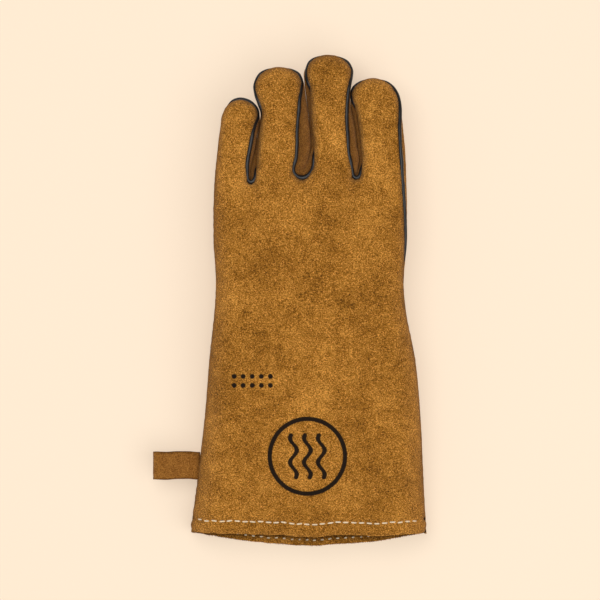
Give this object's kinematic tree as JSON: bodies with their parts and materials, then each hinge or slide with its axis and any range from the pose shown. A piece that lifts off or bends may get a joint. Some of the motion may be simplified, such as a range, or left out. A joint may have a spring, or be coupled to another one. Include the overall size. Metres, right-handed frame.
{
  "type": "heat resistant glove",
  "caption": "Long gauntlet glove in golden suede with a soft lining, piped fingers, a flared cuff and a hanging loop, for handling hot grates, pans and coals",
  "frame": {"origin": "on the resting plane, under the middle of the cuff's mouth", "axes": "+X to the thumb side, +Y along the glove to the fingertips, +Z out of the back of the hand, with the glove lying palm down"},
  "size_m": [0.2006, 0.3564, 0.0555],
  "materials": {
    "suede": "golden split suede with a short nap",
    "suede_side": "the same suede in a darker, smoother cut",
    "piping": "black coated welt",
    "lining": "unbleached cotton fleece",
    "thread": "thick cream thread"
  },
  "bodies": {
    "cuff": {"cuff_back": "suede", "cuff_palm": "suede", "cuff_lining": "lining", "cuff_piping": "piping", "hem_stitching": "thread"},
    "hanging_loop": {"hanging_loop": "suede"},
    "hand": {"hand_back": "suede", "hand_palm": "suede", "hand_lining": "lining", "palm_patch": "suede_side", "hand_piping": "piping"},
    "index_base": {"index_back_base": "suede", "index_palm_base": "suede", "index_sidewalls_base": "suede_side", "index_lining_base": "lining", "index_piping_base": "piping"},
    "index_tip": {"index_back_tip": "suede", "index_palm_tip": "suede", "index_sidewalls_tip": "suede_side", "index_lining_tip": "lining", "index_piping_tip": "piping"},
    "middle_base": {"middle_back_base": "suede", "middle_palm_base": "suede", "middle_sidewalls_base": "suede_side", "middle_lining_base": "lining", "middle_piping_base": "piping"},
    "middle_tip": {"middle_back_tip": "suede", "middle_palm_tip": "suede", "middle_sidewalls_tip": "suede_side", "middle_lining_tip": "lining", "middle_piping_tip": "piping"},
    "ring_base": {"ring_back_base": "suede", "ring_palm_base": "suede", "ring_sidewalls_base": "suede_side", "ring_lining_base": "lining", "ring_piping_base": "piping"},
    "ring_tip": {"ring_back_tip": "suede", "ring_palm_tip": "suede", "ring_sidewalls_tip": "suede_side", "ring_lining_tip": "lining", "ring_piping_tip": "piping"},
    "little_base": {"little_back_base": "suede", "little_palm_base": "suede", "little_sidewalls_base": "suede_side", "little_lining_base": "lining", "little_piping_base": "piping"},
    "little_tip": {"little_back_tip": "suede", "little_palm_tip": "suede", "little_sidewalls_tip": "suede_side", "little_lining_tip": "lining", "little_piping_tip": "piping"},
    "thumb_base": {"thumb_upper_base": "suede", "thumb_lower_base": "suede", "thumb_lining_base": "lining"},
    "thumb_tip": {"thumb_upper_tip": "suede", "thumb_lower_tip": "suede", "thumb_lining_tip": "lining"}
  },
  "joints": [
    {"name": "wrist_bend", "type": "hinge", "parent": "cuff", "child": "hand", "pos_m": [0, 0.178, 0.038], "axis": [-1, 0, 0], "range_deg": [-25, 45], "stiffness_Nm_per_rad": 3},
    {"name": "loop_swing", "type": "hinge", "parent": "cuff", "child": "hanging_loop", "pos_m": [-0.08311, 0.058, 0.02097], "axis": [0, 1, 0], "range_deg": [-30, 60], "stiffness_Nm_per_rad": 0.05},
    {"name": "index_knuckle", "type": "hinge", "parent": "hand", "child": "index_base", "pos_m": [0.0502, 0.27619, 0.037], "axis": [-1, 0, 0], "range_deg": [0, 70], "stiffness_Nm_per_rad": 0.4},
    {"name": "index_middle_joint", "type": "hinge", "parent": "index_base", "child": "index_tip", "pos_m": [0.0502, 0.31211, 0.03449], "axis": [-1, 0, 0], "range_deg": [0, 70], "stiffness_Nm_per_rad": 0.3},
    {"name": "middle_knuckle", "type": "hinge", "parent": "hand", "child": "middle_base", "pos_m": [0.0145, 0.27619, 0.037], "axis": [-1, 0, 0], "range_deg": [0, 70], "stiffness_Nm_per_rad": 0.4},
    {"name": "middle_middle_joint", "type": "hinge", "parent": "middle_base", "child": "middle_tip", "pos_m": [0.0145, 0.31809, 0.03407], "axis": [-1, 0, 0], "range_deg": [0, 70], "stiffness_Nm_per_rad": 0.3},
    {"name": "ring_knuckle", "type": "hinge", "parent": "hand", "child": "ring_base", "pos_m": [-0.022, 0.27619, 0.037], "axis": [-1, 0, 0], "range_deg": [0, 70], "stiffness_Nm_per_rad": 0.4},
    {"name": "ring_middle_joint", "type": "hinge", "parent": "ring_base", "child": "ring_tip", "pos_m": [-0.022, 0.3151, 0.03428], "axis": [-1, 0, 0], "range_deg": [0, 70], "stiffness_Nm_per_rad": 0.3},
    {"name": "little_knuckle", "type": "hinge", "parent": "hand", "child": "little_base", "pos_m": [-0.0532, 0.27619, 0.037], "axis": [-1, 0, 0], "range_deg": [0, 70], "stiffness_Nm_per_rad": 0.4},
    {"name": "little_middle_joint", "type": "hinge", "parent": "little_base", "child": "little_tip", "pos_m": [-0.0532, 0.30213, 0.03519], "axis": [-1, 0, 0], "range_deg": [0, 70], "stiffness_Nm_per_rad": 0.3},
    {"name": "thumb_root_swing", "type": "hinge", "parent": "hand", "child": "thumb_base", "pos_m": [0.043, 0.204, 0.0103], "axis": [0, 0, -1], "range_deg": [0, 75], "stiffness_Nm_per_rad": 0.4},
    {"name": "thumb_middle_joint", "type": "hinge", "parent": "thumb_base", "child": "thumb_tip", "pos_m": [0.02235, 0.23349, 0.0103], "axis": [0, 0, 1], "range_deg": [0, 50], "stiffness_Nm_per_rad": 0.3}
  ]
}
